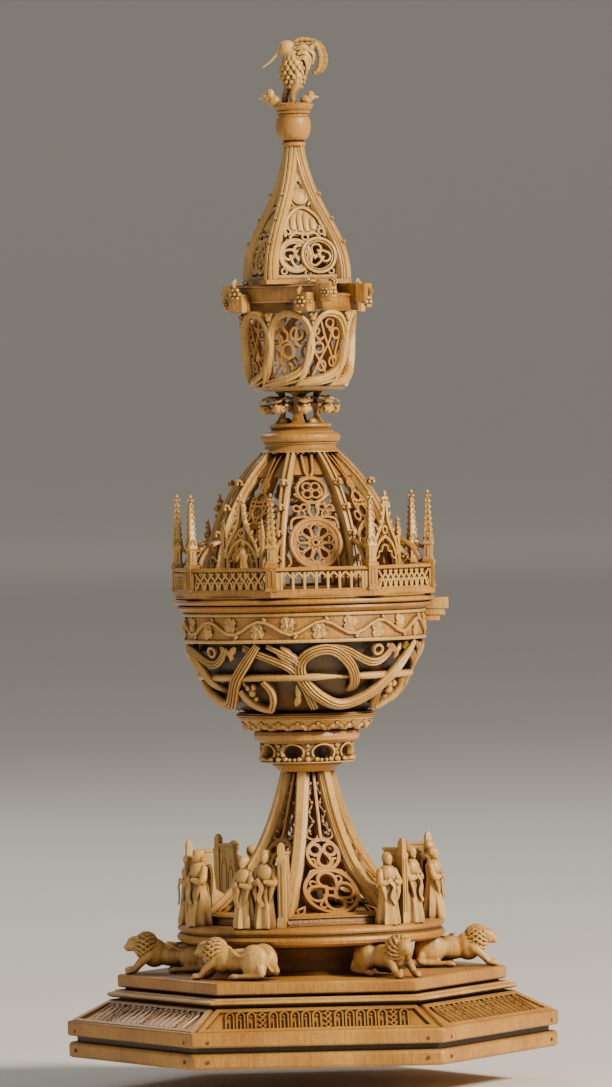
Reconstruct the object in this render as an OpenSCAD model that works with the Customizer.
// Covered font in carved boxwood: a hexagonal foot with six lions, an openwork stem,
// a bowl of interlaced straps, a lift-off gabled cover and a lift-off spire with a bird.
// Millimetres, +Z up, origin at the middle of the underside. "Front" is the -Y side.
// An angle called turn is counted from the front towards +X.

/* [Foot] */
// Corner radius of the two hexagonal foot plates
foot_r = 63.5; // [62:0.5:65]
// Thickness of the lower foot plate
foot_plate_h = 4.1; // [3.5:0.1:4.5]
// Height of the groove between the foot plates
foot_groove_h = 1.5; // [1.2:0.1:2]
// Thickness of the upper foot plate
foot_upper_h = 3.9; // [3.5:0.1:4.2]
// Height of the sloping ornament panels
foot_slope_h = 5.8; // [5:0.1:6.5]
// Height of the moulding over the panels
foot_moulding_h = 1.9; // [1.5:0.1:2.4]
// Corner radius of the slab that carries the lions
tier_r = 50.3; // [49:0.1:51]
// Thickness of the lion slab with the shadow gap under it
tier_h = 4; // [3.6:0.1:4.4]

/* [Lions] */
// Length of a lion from tail to muzzle
lion_length = 23; // [21:0.5:24]
// Height of a lion at the mane
lion_height = 11; // [10:0.1:11.5]

/* [Stem] */
// Height of the drum under the foot disc
drum_h = 7.8; // [7.4:0.1:8.4]
// Radius of the round foot disc
disc_r = 34.7; // [34.5:0.1:35.5]
// Thickness of the foot disc
disc_h = 5; // [4.5:0.1:5.5]
// Corner radius of the stem's hexagonal plinth
plinth_r = 31; // [30.5:0.1:31]
// Height of the plinth
plinth_h = 2.4; // [2:0.1:2.8]
// Height of the openwork stem
stem_h = 36.2; // [34:0.1:38]
// Width of a stem rib
stem_rib_w = 3.2; // [2.8:0.1:3.4]
// Turn of the first stem rib from the front, in degrees
stem_turn = -14; // [-20:1:0]

/* [Bowl] */
// Height of the pierced collar under the bowl
collar_h = 5.3; // [5:0.1:5.6]
// Height of the openwork bowl
bowl_h = 18.3; // [17:0.1:20]
// Radius of the frieze round the bowl
frieze_r = 30.7; // [30.2:0.1:31]
// Height of the frieze
frieze_h = 7.7; // [7:0.1:8.4]
// Radius of the rim
rim_r = 33.8; // [33.5:0.1:34]
// Height of the rim
rim_h = 4; // [3.6:0.1:4.4]
// Bore radius of the basin's mouth
mouth_r = 25.8; // [25.5:0.1:26]

/* [Cover] */
// Corner radius of the eight-sided gallery
gallery_r = 34.8; // [34.5:0.1:35]
// Height of the gallery with its floor
gallery_h = 7.6; // [7.2:0.1:8]
// Height of the ribbed cover above its floor
cover_h = 35.3; // [34:0.1:37]
// Width of a cover rib
cover_rib_w = 2.4; // [2.2:0.1:2.6]
// Turn of the first cover rib from the front, in degrees
cover_turn = -15; // [-20:1:0]
// Radial gap between the cover's spigot and the basin's mouth
cover_fit = 0.06; // [0.03:0.01:0.09]

/* [Lantern] */
// Height of the knop under the lantern
knop_h = 8.3; // [8:0.1:9]
// Height of the lantern with its dish
lantern_h = 20.3; // [20:0.1:21]
// Distance of the band's bars from the axis
bar_offset = 9.5; // [9.3:0.1:9.7]
// Half the length of a band bar
bar_half = 15.8; // [15:0.1:16]
// Width of a band bar
bar_w = 3.6; // [3.2:0.1:3.8]
// Height of the band of crossing bars
band_h = 7.1; // [6.8:0.1:7.4]

/* [Spire] */
// Height of the four-sided spire above its plate
spire_h = 34.4; // [33:0.1:36]
// Width of a spire rib
spire_rib_w = 3.4; // [3:0.1:3.6]
// Turn of the first spire rib from the front, in degrees
spire_turn = -30; // [-35:1:-25]
// Radial gap between the spire's spigot and the band
spire_fit = 0.08; // [0.03:0.01:0.09]
// Radius of the ball under the nest
ball_r = 4.5; // [4:0.1:4.8]

/* [Hidden] */
$fn = 72;
eps = 0.01;
boxwood = "#C4935A";
boxwood_pale = "#D6AC78";
boxwood_deep = "#9C6B35";
steps = 14;

// Heights of the storeys, each on top of the one before
z_groove = foot_plate_h;
z_upper = z_groove + foot_groove_h;
z_slope = z_upper + foot_upper_h;
z_moulding = z_slope + foot_slope_h;
z_tier = z_moulding + foot_moulding_h;
z_drum = z_tier + tier_h;
z_disc = z_drum + drum_h;
z_plinth = z_disc + disc_h;
z_stem = z_plinth + plinth_h;
z_capital = z_stem + stem_h;
capital_h = 2.4;
z_collar = z_capital + capital_h;
z_collar_ring = z_collar + collar_h;
collar_ring_h = 3.4;
z_leaf = z_collar_ring + collar_ring_h;
leaf_h = 2.8;
z_bowl_foot = z_leaf + leaf_h;
bowl_foot_h = 1.5;
z_bowl = z_bowl_foot + bowl_foot_h;
z_frieze = z_bowl + bowl_h;
z_rim = z_frieze + frieze_h;
z_cover = z_rim + rim_h;
floor_h = 1.5;
z_shell = z_cover + floor_h;
z_neck = z_shell + cover_h;
neck_h = 7.5;
z_knop = z_neck + neck_h;
z_lantern = z_knop + knop_h;
z_band = z_lantern + lantern_h;
z_spire = z_band + band_h;
spire_plate_h = 1.2;
z_spire_ribs = z_spire + spire_plate_h;
z_spire_neck = z_spire_ribs + spire_h;
spire_neck_h = 1.4;
z_ball = z_spire_neck + spire_neck_h;
ball_h = 6.9;
z_nest = z_ball + ball_h;
nest_h = 3.7;
z_bird = z_nest + nest_h - 1.6;

// Side lines of the ribbed storeys: control points of one cubic curve each, as [radius, height]
stem_line = [[7, z_capital], [10.5, z_stem + 22.6], [15, z_stem + 10], [29.5, z_stem]];
bowl_line = [[18, z_bowl], [23.5, z_bowl + 2], [29, z_bowl + 9], [frieze_r - 0.1, z_frieze]];
cover_line = [[27, z_shell + 4], [24.5, z_shell + 17.5], [20, z_shell + 26.5], [10.4, z_neck]];
lantern_line = [[10.6, z_lantern], [14.8, z_lantern + 0.8], [15.2, z_lantern + 10], [15.3, z_band]];
spire_line = [
    [15.5, z_spire_ribs], [16, z_spire_ribs + 13], [5.5, z_spire_ribs + 17], [2.6, z_spire_neck]
];

function curve_at(p, t) =
    pow(1 - t, 3) * p[0] + 3 * pow(1 - t, 2) * t * p[1] + 3 * (1 - t) * t * t * p[2]
    + pow(t, 3) * p[3];
function curve(p, first = 0, last = 1) =
    [for (i = [0 : steps]) curve_at(p, first + (last - first) * i / steps)];
// A side line scaled towards the axis and then moved in by a fixed amount
function inset(points, shrink, depth) = [for (q = points) [max(0, q[0] * shrink - depth), q[1]]];
function reversed(list) = [for (i = [len(list) - 1 : -1 : 0]) list[i]];

// Copies of a front-facing piece, n times round the axis from the turn called first
module around(n, first = 0) for (i = [0 : n - 1]) rotate([0, 0, first + i * 360 / n]) children();
// A front-facing piece put at one turn
module at_turn(turn) rotate([0, 0, turn]) children();
// Straight prism with six corners, one of them on the +X axis
module hex_slab(r, z0, z1) translate([0, 0, z0]) cylinder(h = z1 - z0, r = r, $fn = 6);
module turned(points) rotate_extrude() polygon(points);
module tube(r_out, r_in, z0, z1) turned([[r_in, z0], [r_out, z0], [r_out, z1], [r_in, z1]]);
// A [radius, height] outline stood up in the front plane and given a width along X
module plate(points, width)
    rotate([90, 0, -90]) linear_extrude(width, center = true) polygon(points);
// The same outline as one side of a prism that runs along X
module wall(points, width) plate(points, width);
// An outline seen from the front, cut straight back from y = -far to y = -near
module fretted(near, far) translate([0, -near, 0]) rotate([90, 0, 0]) linear_extrude(far - near) children();
// The wedge between two neighbouring ribs of n, each 2 * gap wide, facing the front
module bay(n, gap, z0, z1, reach = 80) {
    tip = gap / sin(180 / n);
    side = reach * tan(180 / n);
    translate([0, 0, z0]) linear_extrude(z1 - z0)
        polygon([[0, -tip], [side, -tip - reach], [-side, -tip - reach]]);
}
// Pointed-arch opening seen from the front, with its foot at the origin
module arch(width, height) {
    spring = height - width * 0.8;
    translate([-width / 2, 0]) square([width, max(spring, eps)]);
    translate([0, spring]) intersection() {
        translate([-width / 2, -eps]) square([width, width]);
        translate([-width * 0.3, 0]) circle(width * 0.8);
        translate([width * 0.3, 0]) circle(width * 0.8);
    }
}
// Drop-shaped opening: a circle drawn out to a point at the given angle. The straight sides
// start just inside the circle, so that they cross it cleanly.
module drop(r, tail, angle) rotate([0, 0, angle]) {
    half = acos(r / tail);
    inside = 0.96 * r;
    circle(r);
    polygon([[0, tail], [inside * sin(half), inside * cos(half)],
        [-inside * sin(half), inside * cos(half)]]);
}

// ---- Foot ----

module foot_plate() color(boxwood) {
    hex_slab(foot_r - 0.5, 0, 0.5);
    hex_slab(foot_r, 0.5, foot_plate_h - 0.5);
    hex_slab(foot_r - 0.5, foot_plate_h - 0.5, foot_plate_h);
}

module foot_groove() color(boxwood_deep) hex_slab(foot_r - 2.6, z_groove, z_upper);

module foot_upper_plate() color(boxwood) {
    hex_slab(foot_r - 0.2, z_upper, z_upper + 0.4);
    hex_slab(foot_r + 0.2, z_upper + 0.4, z_slope - 0.3);
    hex_slab(foot_r - 0.1, z_slope - 0.3, z_slope);
}

foot_core_r = 49;
module foot_core() color(boxwood_deep) hex_slab(foot_core_r, z_slope, z_moulding);

module foot_panels() color(boxwood) around(6) intersection() {
    wall([
        [foot_core_r * cos(30), z_slope], [(foot_r - 0.3) * cos(30), z_slope],
        [52.2 * cos(30), z_moulding - 0.5], [52.2 * cos(30), z_moulding],
        [foot_core_r * cos(30), z_moulding]
    ], 80);
    bay(6, 0, z_slope - 1, z_moulding + 1);
}

module foot_moulding() color(boxwood_pale) {
    hex_slab(52.6, z_moulding, z_moulding + 0.4);
    hex_slab(53.1, z_moulding + 0.4, z_tier - 0.5);
    hex_slab(52.5, z_tier - 0.5, z_tier);
}

// Oak pegs that pin the foot plates, near each corner of every side
peg_r = 0.45;
module foot_pegs() color(boxwood_deep) around(6) for (side = [-1, 1], z = [2, z_upper + 1.3])
    translate([side * (foot_r / 2 - 4), -foot_r * cos(30) - 0.1, z]) rotate([-90, 0, 0])
        cylinder(h = 6, r = peg_r);

tier_gap_h = 0.6;
module tier_slab() color(boxwood) {
    hex_slab(tier_r - 2.3, z_tier, z_tier + tier_gap_h);
    hex_slab(tier_r, z_tier + tier_gap_h, z_drum - 0.6);
    hex_slab(tier_r - 0.8, z_drum - 0.6, z_drum);
}

// ---- Lions ----

module knob(at, r) translate(at) sphere(r, $fn = 7);
// A blocked-out lion along +X, standing on z = 0, its middle at the origin
module lion() {
    half = lion_length / 2;
    hull() { knob([-half + 4.2, 0, 3.9], 3.6); knob([0, 0, 3.4], 2.8); }
    hull() { knob([0, 0, 3.4], 2.8); knob([half - 7.5, 0, 4.8], 3.6); }
    hull() { knob([half - 7.5, 0, 5.4], 4); knob([half - 4.5, 0, lion_height - 3.6], 3.5); }
    hull() { knob([half - 4, 0, lion_height - 4.6], 2.2); knob([half - 1.6, 0, lion_height - 5.2], 1.4); }
    for (side = [-1, 1]) {
        hull() { knob([half - 6, side * 2.8, 2.4], 1.5); knob([half - 1.2, side * 3.2, 1], 1.2); }
        hull() { knob([-half + 3.4, side * 2.6, 3.2], 2.2); knob([-half + 8, side * 3.9, 0.9], 1.2); }
    }
}

// Turn and distance of each lion's middle, and which way it heads from straight out
lion_places = [
    [30, 37.4, 0], [90, 37.4, 0], [150, 37.4, 0], [210, 37.4, 0], [270, 37.4, 0], [-32, 38.4, -84]
];
module lions() color(boxwood_pale) for (p = lion_places) intersection() {
    at_turn(p[0]) translate([0, -p[1], z_drum]) rotate([0, 0, p[2] - 90]) lion();
    translate([-80, -80, z_drum]) cube([160, 160, 20]);
}

// ---- Foot of the stem ----

module foot_drum() color(boxwood_deep) turned([
    [0, z_drum], [24.5, z_drum], [22.5, z_drum + 1.4], [21.6, z_drum + 4], [22.5, z_disc - 1.2],
    [25, z_disc], [0, z_disc]
]);

module foot_disc() color(boxwood) turned([
    [0, z_disc], [disc_r - 2.2, z_disc], [disc_r - 0.6, z_disc + 0.5], [disc_r, z_disc + 1.4],
    [disc_r, z_plinth - 1.8], [disc_r - 0.5, z_plinth - 1], [disc_r - 1.5, z_plinth - 0.3],
    [disc_r - 3, z_plinth], [0, z_plinth]
]);

module stem_plinth() color(boxwood) rotate([0, 0, stem_turn - 90])
    hex_slab(plinth_r, z_plinth, z_stem);

// ---- Stem ----

stem_outer = curve(stem_line);
stem_rib_depth = 3;
module stem_ribs() color(boxwood_pale) around(6, stem_turn)
    plate(concat(stem_outer, reversed(inset(stem_outer, 1, stem_rib_depth))), stem_rib_w);

// Traceried bay: swirl circle at the foot, eyes and a drop over it, two lancets above
stem_window_set = 1;
stem_window_t = 1.3;
module stem_windows() color(boxwood) around(6, stem_turn + 30) difference() {
    intersection() {
        wall(concat(inset(stem_outer, cos(30), stem_window_set),
            reversed(inset(stem_outer, cos(30), stem_window_set + stem_window_t))), 60);
        bay(6, stem_rib_w / 2, z_stem - 1, z_capital + 1);
    }
    fretted(0, 60) translate([0, z_stem + 5.8]) for (i = [0 : 3]) rotate([0, 0, 20 + i * 90])
        translate([0, 2.6]) drop(1.35, 2.5, 70);
    fretted(0, 60) {
        for (side = [-1, 1]) translate([side * 1.7, z_stem + 17]) circle(1.1);
        translate([0, z_stem + 13.4]) drop(1.2, 2.2, 0);
        for (side = [-1, 1]) translate([side * 1.15, z_stem + 20]) arch(1.2, 9);
    }
}

module stem_core() color(boxwood_deep) turned([
    [0, z_stem], [7, z_stem], [4.5, z_stem + 2], [2.6, z_stem + 6], [3, z_stem + 12],
    [1.8, z_stem + 16], [2.2, z_stem + 24], [1.6, z_stem + 30], [1.6, z_capital], [0, z_capital]
]);

// Outer piers in line with the ribs, each joined to its rib by a sloping fin
pier_w = 2.4;
fin_first = 12;
pier_r = 31.2;
pier_top = 55.8;
module stem_piers() color(boxwood_pale) around(6, stem_turn)
    plate(concat([for (i = [fin_first : steps]) stem_outer[i]], [
        [pier_r, z_stem], [pier_r, z_plinth], [pier_r + 2.2, z_plinth],
        [pier_r + 2.2, pier_top - 1.2], [pier_r + 1.1, pier_top], [pier_r, pier_top - 1.2],
        [pier_r - 0.6, z_stem + 16.6], [26.6, z_stem + 16.6], [25.6, z_stem + 6.6]
    ]), pier_w);

// Robed figures on the disc: two left of one pier, one each side of the next, and so on round
figure_place = [4.4, 31.1];
second_place = [10.2, 30.2];
figure_outline = [
    [0, 0], [2.2, 0], [2, 5], [1.5, 10], [2, 14], [1.8, 16], [0.9, 17], [0, 17]
];
module robed_figure(size) scale(size) {
    turned(figure_outline);
    translate([0, 0, 18.2]) sphere(1.5);
}
module stem_figures() color(boxwood_pale) {
    around(3, stem_turn) {
        translate([-figure_place[0], -figure_place[1], z_plinth]) robed_figure(1.02);
        translate([-second_place[0], -second_place[1], z_plinth]) robed_figure(0.94);
    }
    around(3, stem_turn + 60) for (side = [-1, 1])
        translate([side * figure_place[0], -figure_place[1], z_plinth])
            robed_figure(side > 0 ? 1.02 : 0.94);
}

// ---- Collar under the bowl ----

collar_shaft_r = 6.5;
module stem_capital() color(boxwood) turned([
    [0, z_capital], [7.2, z_capital], [9, z_collar - 0.8], [9, z_collar], [collar_shaft_r, z_collar],
    [collar_shaft_r, z_collar_ring], [0, z_collar_ring]
]);

collar_holes = 9;
collar_opening = [
    [-1.9, -1.6], [-2.6, -0.5], [-2.5, 0.6], [-1.8, 1.4], [-0.7, 1.8], [0.7, 1.8], [1.8, 1.4],
    [2.5, 0.6], [2.6, -0.5], [1.9, -1.6]
];
module collar() color(boxwood_pale) difference() {
    tube(11.4, 9.2, z_collar, z_collar_ring);
    around(collar_holes, 20) translate([0, -5, z_collar + collar_h / 2]) rotate([90, 0, 0])
        linear_extrude(10) polygon(collar_opening);
}

module collar_ring() color(boxwood) turned([
    [0, z_collar_ring], [12.6, z_collar_ring], [13.5, z_collar_ring + 0.6],
    [13.7, z_collar_ring + 1.7], [13.4, z_leaf - 0.7], [12.4, z_leaf], [0, z_leaf]
]);

module leaf_ring() color(boxwood_pale) turned([
    [0, z_leaf], [12.6, z_leaf], [15.4, z_leaf + 0.8], [17.4, z_leaf + 2], [17.5, z_bowl_foot],
    [0, z_bowl_foot]
]);

module bowl_foot_ring() color(boxwood) turned([
    [0, z_bowl_foot], [17.6, z_bowl_foot], [18.2, z_bowl_foot + 0.5], [18.2, z_bowl - 0.4],
    [17.8, z_bowl], [0, z_bowl]
]);

// ---- Bowl ----

bowl_outer = curve(bowl_line);
strap_t = 2.2;
basin_gap = 0.6;
basin_wall = 1.6;
basin_set = strap_t + basin_gap;
basin_r = mouth_r + basin_wall;
mouth_h = 6;
module bowl_basin() color(boxwood_deep) turned(concat(
    [[0, z_bowl]], [for (q = inset(bowl_outer, 1, basin_set)) [min(q[0], basin_r), q[1]]],
    [[basin_r, z_cover], [mouth_r, z_cover], [mouth_r, z_cover - mouth_h]],
    reversed([for (q = inset(curve(bowl_line, 0.12, 0.98), 1, basin_set + basin_wall))
        [min(q[0], mouth_r - 0.8), q[1]]]),
    [[0, z_bowl + 2]]
));

// Interlaced loops cut from one openwork shell, parted by the rope ring
rope_r = 0.9;
rope_z = z_bowl + 9.5;
rope_ring_r = 26.6;
strap_w = 2.1;
loop_r = 8;
module strap_loops() {
    difference() { circle(loop_r); circle(loop_r - strap_w); }
    for (side = [-1, 1]) translate([side * (loop_r - strap_w / 2), 0])
        rotate([0, 0, side * 32]) translate([-strap_w / 2, -13]) square([strap_w, 26]);
}
strap_line = curve(bowl_line);
module bowl_straps() color(boxwood) difference() {
    intersection() {
        turned(concat(strap_line, reversed(inset(strap_line, 1, strap_t))));
        around(6, 10) fretted(8, 40) translate([0, z_bowl + bowl_h / 2]) strap_loops();
    }
    translate([0, 0, rope_z]) rotate_extrude() translate([rope_ring_r, 0]) circle(rope_r + 0.05, $fn = 24);
}

module bowl_rope() color(boxwood_pale) translate([0, 0, rope_z])
    rotate_extrude() translate([rope_ring_r, 0]) circle(rope_r, $fn = 24);

module frieze_band() color(boxwood) tube(frieze_r, basin_r, z_frieze, z_rim);

// Raised lozenges and bars between two fillets
frieze_count = 24;
frieze_proud = 0.7;
module frieze_ornament() color(boxwood_pale) intersection() {
    union() {
        tube(frieze_r + frieze_proud, frieze_r, z_frieze, z_frieze + 0.9);
        tube(frieze_r + frieze_proud, frieze_r, z_rim - 0.9, z_rim);
        around(frieze_count) fretted(20, 40) translate([0, z_frieze + frieze_h / 2]) {
            rotate([0, 0, 45]) square(2.6, center = true);
            translate([3.3, 0]) square([1, frieze_h - 1.6], center = true);
        }
    }
    tube(frieze_r + frieze_proud, frieze_r, z_frieze, z_rim);
}

module rim_moulding() color(boxwood) turned([
    [basin_r, z_rim], [31.6, z_rim], [33, z_rim + 0.3], [33.5, z_rim + 1.1], [32.8, z_rim + 1.8],
    [33.3, z_rim + 2], [rim_r, z_rim + 2.8], [33.5, z_cover - 0.4], [32.8, z_cover],
    [basin_r, z_cover]
]);

lug_turn = 95;
module rim_lug() color(boxwood_pale) at_turn(lug_turn) {
    difference() {
        translate([-2, -35.4, z_rim - 3.4]) cube([4, 6, 6.2]);
        translate([0, 0, z_rim - 5]) cylinder(h = 10, r = rim_r, $fn = 480);
    }
    translate([0, -36.4, z_rim - 0.8]) cylinder(h = 3.2, r = 1.3, $fn = 96);
}

// ---- Cover ----

spigot_h = 3;
spigot_in = 23.6;
floor_hole_r = 16;
module octagon_slab(r, z0, z1) rotate([0, 0, cover_turn - 90])
    translate([0, 0, z0]) cylinder(h = z1 - z0, r = r, $fn = 8);
module cover_floor() color(boxwood) difference() {
    union() {
        octagon_slab(gallery_r, z_cover, z_shell);
        translate([0, 0, z_cover - spigot_h]) cylinder(h = spigot_h + eps, r = mouth_r - cover_fit);
    }
    translate([0, 0, z_cover - spigot_h - 1]) cylinder(h = spigot_h + 1, r = spigot_in);
    translate([0, 0, z_cover - 1]) cylinder(h = floor_h + 2, r = floor_hole_r);
}

gallery_wall = 1.4;
gallery_post_w = 3;
z_rail = z_cover + gallery_h - 1.3;
z_gallery_top = z_cover + gallery_h;
gallery_flat = gallery_r * cos(22.5);
module gallery_side(z0, z1) intersection() {
    wall([[gallery_flat - gallery_wall, z0], [gallery_flat, z0], [gallery_flat, z1],
        [gallery_flat - gallery_wall, z1]], 40);
    bay(8, gallery_post_w / 2, z0 - 1, z1 + 1);
}
module gallery_rail() color(boxwood) around(8, cover_turn + 22.5) gallery_side(z_rail, z_gallery_top);

arcade_count = 7;
arcade_pitch = 3;
module gallery_arcades() color(boxwood_pale) around(4, cover_turn + 22.5) difference() {
    gallery_side(z_shell, z_rail);
    fretted(gallery_flat - 3, gallery_flat + 3) for (i = [0 : arcade_count - 1])
        translate([(i - (arcade_count - 1) / 2) * arcade_pitch, z_shell + 0.5]) arch(2.2, 3.7);
}

module gallery_lattices() color(boxwood_pale) around(4, cover_turn + 67.5) difference() {
    gallery_side(z_shell, z_rail);
    fretted(gallery_flat - 3, gallery_flat + 3) for (i = [-3 : 3])
        translate([i * arcade_pitch, (z_shell + z_rail) / 2]) {
            rotate([0, 0, 45]) square(2, center = true);
            for (s = [-1, 1]) translate([arcade_pitch / 2, s * 1.4]) circle(0.45, $fn = 24);
        }
}

gallery_post_top = z_gallery_top + 1;
module gallery_piers() color(boxwood) around(8, cover_turn)
    translate([-gallery_post_w / 2, -gallery_r, z_shell])
        cube([gallery_post_w, gallery_post_w, gallery_post_top - z_shell]);

pinnacle_h = 18;
module pinnacles() color(boxwood_pale) around(8, cover_turn)
    translate([0, -gallery_r + gallery_post_w / 2, gallery_post_top]) {
        translate([-1.1, -1.1, 0]) cube([2.2, 2.2, 5]);
        translate([0, 0, 5]) cylinder(h = pinnacle_h - 5.6, r1 = 1.6, r2 = 0.35, $fn = 24);
        translate([0, 0, pinnacle_h - 0.8]) sphere(0.9, $fn = 24);
        for (k = [0 : 2], side = [-1, 1]) translate([side * (1.5 - k * 0.3), 0, 6 + k * 3.4])
            sphere(0.75, $fn = 16);
    }

// Flying arms from the gallery posts to the ribs
arm_w = 1.4;
cover_outer = curve(cover_line);
arm_line = [[gallery_r - gallery_post_w, 125.4], [31, 129.5], [28, 132.5], [25.4, 132.8]];
module pinnacle_arms() color(boxwood) around(8, cover_turn)
    plate(concat(curve(arm_line), [for (q = reversed(curve(arm_line))) [q[0], q[1] - 1.5]]), arm_w);

cover_rib_depth = 2.8;
cover_foot = [[27, z_shell]];
module cover_ribs() color(boxwood_pale) around(8, cover_turn)
    plate(concat(cover_foot, cover_outer, reversed(inset(cover_outer, 1, cover_rib_depth)),
        inset(cover_foot, 1, cover_rib_depth)), cover_rib_w);

cover_set = 0.8;
cover_panel_t = 1.2;
module cover_panel() intersection() {
    line = concat(cover_foot, cover_outer);
    wall(concat(inset(line, cos(22.5), cover_set),
        reversed(inset(line, cos(22.5), cover_set + cover_panel_t))), 40);
    bay(8, cover_rib_w / 2, z_shell - 1, z_neck + 1);
}

rose_z = z_shell + 12.8;
rose_petals = 10;
module cover_rose_windows() color(boxwood) around(4, cover_turn + 22.5) difference() {
    cover_panel();
    fretted(5, 40) {
        translate([0, rose_z]) for (i = [0 : rose_petals - 1]) rotate([0, 0, i * 360 / rose_petals])
            translate([0, 4.1]) drop(1.05, 2.6, 180);
        translate([0, z_shell + 25]) for (i = [0 : 3]) rotate([0, 0, i * 90]) translate([0, 1.5])
            circle(0.8, $fn = 24);
        for (side = [-1, 1]) translate([side * 2.6, z_shell + 20.6]) circle(1.3, $fn = 24);
    }
}

module cover_niches() color(boxwood) around(4, cover_turn + 67.5) difference() {
    cover_panel();
    fretted(5, 40) {
        translate([0, z_shell + 1]) arch(11, 16);
        translate([0, z_shell + 21.5]) circle(1.8, $fn = 24);
        translate([0, z_shell + 27]) circle(1.2, $fn = 24);
    }
}

gable_flat = 27 * cos(22.5) + 0.3;
gable_t = 1.4;
module niche_gables() color(boxwood_pale) around(4, cover_turn + 67.5) fretted(gable_flat, gable_flat + gable_t)
    translate([0, z_shell]) difference() {
        union() {
            translate([-7, 0]) square([14, 9]);
            polygon([[-7, 9], [7, 9], [3.4, 14], [1, 18], [0.5, 24], [-0.5, 24], [-1, 18], [-3.4, 14]]);
            translate([0, 23.6]) circle(1.5);
            for (side = [-1, 1]) translate([side * 6.1, 0]) polygon([[-1, 0], [1, 0], [1, 15], [0, 19], [-1, 15]]);
        }
        translate([0, -eps]) arch(9.6, 13);
    }

module niche_figures() color(boxwood_pale) around(4, cover_turn + 67.5)
    translate([0, -19.8, z_shell]) robed_figure(0.66);

// Leaf knobs pegged into the ribs
crocket_r = 1.2;
module crockets_on(line, stations, n, first, r) around(n, first) for (t = stations) {
    p = curve_at(line, t);
    translate([0, -p[0] - r * 0.45, p[1]]) sphere(r, $fn = 24);
}
module cover_crockets() color(boxwood_pale)
    crockets_on(cover_line, [0.12, 0.48, 0.72], 8, cover_turn, crocket_r);

module neck_ring() color(boxwood) turned([
    [0, z_neck], [10.4, z_neck], [9, z_neck + 1.4], [8.8, z_neck + 2.2], [9.5, z_neck + 3],
    [9.6, z_neck + 3.9], [9.2, z_neck + 4.8], [7.6, z_neck + 5.4], [7.2, z_neck + 6],
    [7.6, z_neck + 6.4], [7.4, z_knop - 0.3], [6.8, z_knop], [0, z_knop]
]);

module knop_post() color(boxwood) turned([
    [0, z_knop], [4.4, z_knop], [3, z_knop + 1.6], [2.4, z_knop + 4], [3, z_lantern - 1.4],
    [4.6, z_lantern], [0, z_lantern]
]);

knop_leaf_count = 8;
module knop_leaves() color(boxwood_pale) around(knop_leaf_count, 7) {
    translate([0, -2.9, z_knop + 5]) rotate([90, 0, 0]) cylinder(h = 6, r = 1.1, $fn = 24);
    translate([0, -9.8, z_knop + 4.4]) sphere(2.1, $fn = 24);
}

// ---- Lantern and band ----

lantern_foot_t = 0.14;
lantern_outer = curve(lantern_line, lantern_foot_t, 1);
z_dish = lantern_outer[0][1];
lantern_wall = 2.2;
module lantern_dish() color(boxwood) turned(concat([[0, z_lantern]],
    curve(lantern_line, 0, lantern_foot_t), [[0, z_dish]]));

drop_r = 4.3;
drop_z = z_lantern + 12.4;
module lantern_opening(grow) translate([0.6, drop_z])
    drop(drop_r + grow, (drop_r + grow) * 1.95, 155);
module lantern_shell() color(boxwood_pale) difference() {
    turned(concat(lantern_outer, reversed(inset(lantern_outer, 1, lantern_wall))));
    around(8, -7.5) fretted(6, 20) lantern_opening(0);
}

tracery_t = 0.8;
module lantern_tracery() color(boxwood) around(8, -7.5) intersection() {
    turned(concat(inset(lantern_outer, 1, 0.9), reversed(inset(lantern_outer, 1, 0.9 + tracery_t))));
    fretted(6, 20) difference() {
        lantern_opening(-0.02);
        translate([0.6, drop_z]) for (i = [0 : 4]) rotate([0, 0, i * 72]) translate([0, 2.3])
            circle(1.15, $fn = 24);
        translate([-1.4, drop_z - 4.9]) circle(0.8, $fn = 24);
    }
}

// Two lower bars and two upper bars, halved together where they cross
band_turn = spire_turn + 45;
lap_h = 2.4;
z_lower_top = z_band + (band_h + lap_h) / 2;
z_upper_bottom = z_band + (band_h - lap_h) / 2;
z_lap = (z_lower_top + z_upper_bottom) / 2;
module bar(z0, z1, notch_z0, notch_z1) for (side = [-1, 1]) difference() {
    translate([-bar_half, side * bar_offset - bar_w / 2, z0]) cube([2 * bar_half, bar_w, z1 - z0]);
    for (across = [-1, 1])
        translate([across * bar_offset - bar_w / 2, side * bar_offset - bar_w, notch_z0])
            cube([bar_w, 2 * bar_w, notch_z1 - notch_z0]);
}
module band_bars() color(boxwood) rotate([0, 0, band_turn + 45]) {
    bar(z_band, z_lower_top, z_lap, z_lower_top + 1);
    rotate([0, 0, 90]) bar(z_upper_bottom, z_spire, z_upper_bottom - 1, z_lap);
}

module band_pegs() color(boxwood_deep) rotate([0, 0, band_turn + 45])
    for (side = [-1, 1], along = [-1, 1]) {
        translate([along * (bar_half - 1.8), side * (bar_offset + bar_w / 2 + 0.25), z_lower_top - 2.4])
            rotate([side * 90, 0, 0]) cylinder(h = 2, r = 0.4, $fn = 24);
        rotate([0, 0, 90])
            translate([along * (bar_half - 1.8), side * (bar_offset + bar_w / 2 + 0.25), z_spire - 2.4])
                rotate([side * 90, 0, 0]) cylinder(h = 2, r = 0.4, $fn = 24);
    }

// ---- Spire ----

spigot_r = bar_offset - bar_w / 2 - spire_fit;
module spire_plate() color(boxwood) difference() {
    union() {
        rotate([0, 0, spire_turn - 90]) translate([0, 0, z_spire])
            cylinder(h = spire_plate_h, r = 16, $fn = 4);
        translate([0, 0, z_spire - 2.5]) cylinder(h = 2.5 + eps, r = spigot_r);
    }
    translate([0, 0, z_spire - 3]) cylinder(h = 6, r = spigot_r - 1.6);
}

spire_outer = curve(spire_line);
spire_rib_depth = 3;
module spire_ribs() color(boxwood_pale) around(4, spire_turn)
    plate(concat(spire_outer, reversed(inset(spire_outer, 1, spire_rib_depth))), spire_rib_w);

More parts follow.
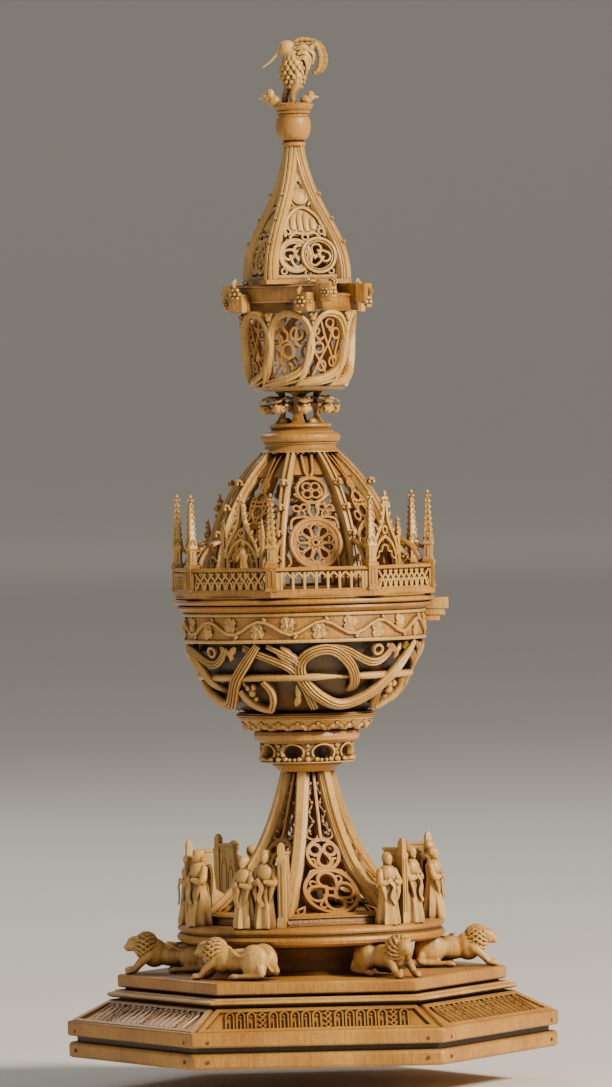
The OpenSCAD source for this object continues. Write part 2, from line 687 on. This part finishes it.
spire_set = 0.6;
spire_panel_t = 1.3;
module spire_panels() color(boxwood) around(4, spire_turn + 45) difference() {
    intersection() {
        wall(concat(inset(spire_outer, cos(45), spire_set),
            reversed(inset(spire_outer, cos(45), spire_set + spire_panel_t))), 40);
        bay(4, spire_rib_w / 2, z_spire, z_spire_neck - 9);
    }
    fretted(2, 30) {
        for (side = [-1, 1]) translate([side * 3.4, z_spire_ribs + 6]) difference() {
            circle(2.4);
            rotate([0, 0, side * 30]) translate([0, 1.5]) circle(1.3);
        }
        for (side = [-1, 1]) translate([side * 4.6, z_spire_ribs + 13]) circle(0.8, $fn = 24);
    }
}

module spire_crockets() color(boxwood_pale)
    crockets_on(spire_line, [0.3, 0.5, 0.66], 4, spire_turn, 0.9);

module spire_neck_ring() color(boxwood) turned([
    [0, z_spire_neck], [2.7, z_spire_neck], [3.1, z_spire_neck + 0.4], [3.1, z_ball - 0.4],
    [2.4, z_ball], [0, z_ball]
]);

// ---- Ball, nest and bird ----

ball_mid = z_ball + 3.3;
ball_dip = acos(3.3 / ball_r);
ball_rise = acos((ball_h - 3.3) / ball_r);
module finial_ball() color(boxwood_deep) turned(concat([[0, z_ball]],
    [for (i = [0 : 12]) let (a = -90 + ball_dip + i * (180 - ball_dip - ball_rise) / 12)
        [ball_r * cos(a), ball_mid + ball_r * sin(a)]],
    [[0, z_nest]]));

module nest() color(boxwood) turned([
    [0, z_nest], [3.6, z_nest], [4.6, z_nest + 0.5], [4.9, z_nest + 1.4], [5.2, z_nest + 2.4],
    [4.6, z_nest + 2.9], [3.6, z_bird], [0, z_bird]
]);

module blob(at, r) translate(at) sphere(r, $fn = 12);
// Two young birds at the left edge of the nest and a third at the right
module chicks() color(boxwood_pale) {
    hull() { blob([-5, -1.6, z_bird + 0.7], 0.8); blob([-6.2, -1.9, z_bird + 3], 0.8); }
    hull() { blob([-4.8, 2, z_bird + 0.7], 0.8); blob([-7, 2.2, z_bird + 0.6], 0.7); }
    hull() { blob([4.6, 0, z_bird + 0.8], 0.9); blob([5.6, 0, z_bird + 2.6], 0.9); }
}

// A long-beaked bird with folded wings and an arched tail, facing -X
module bird() color(boxwood) {
    for (side = [-1, 1]) hull() { blob([-1.2, side * 0.7, z_bird + 0.8], 0.75); blob([0, side * 0.8, z_bird + 6], 1.3); }
    hull() { blob([-0.6, 0, z_bird + 7.5], 2.4); blob([0.6, 0, z_bird + 12], 2.7); }
    hull() { blob([-2.2, 0, z_bird + 14.3], 2.1); blob([0.6, 0, z_bird + 13], 2.2); }
    hull() { blob([-4, 0, z_bird + 12.6], 0.8); blob([-7.6, 0, z_bird + 8.6], 0.35); }
    hull() { blob([1.5, 0, z_bird + 16], 2.1); blob([5.4, 0, z_bird + 14.2], 1.9); }
    hull() { blob([5.4, 0, z_bird + 14.2], 1.9); blob([7, 0, z_bird + 9.6], 1.5); }
}

foot_plate();
foot_groove();
foot_upper_plate();
foot_core();
foot_panels();
foot_moulding();
foot_pegs();
tier_slab();
lions();
foot_drum();
foot_disc();
stem_plinth();
stem_ribs();
stem_windows();
stem_core();
stem_piers();
stem_figures();
stem_capital();
collar();
collar_ring();
leaf_ring();
bowl_foot_ring();
bowl_basin();
bowl_straps();
bowl_rope();
frieze_band();
frieze_ornament();
rim_moulding();
rim_lug();
cover_floor();
gallery_rail();
gallery_arcades();
gallery_lattices();
gallery_piers();
pinnacles();
pinnacle_arms();
cover_ribs();
cover_rose_windows();
cover_niches();
niche_gables();
niche_figures();
cover_crockets();
neck_ring();
knop_post();
knop_leaves();
lantern_dish();
lantern_shell();
lantern_tracery();
band_bars();
band_pegs();
spire_plate();
spire_ribs();
spire_panels();
spire_crockets();
spire_neck_ring();
finial_ball();
nest();
chicks();
bird();
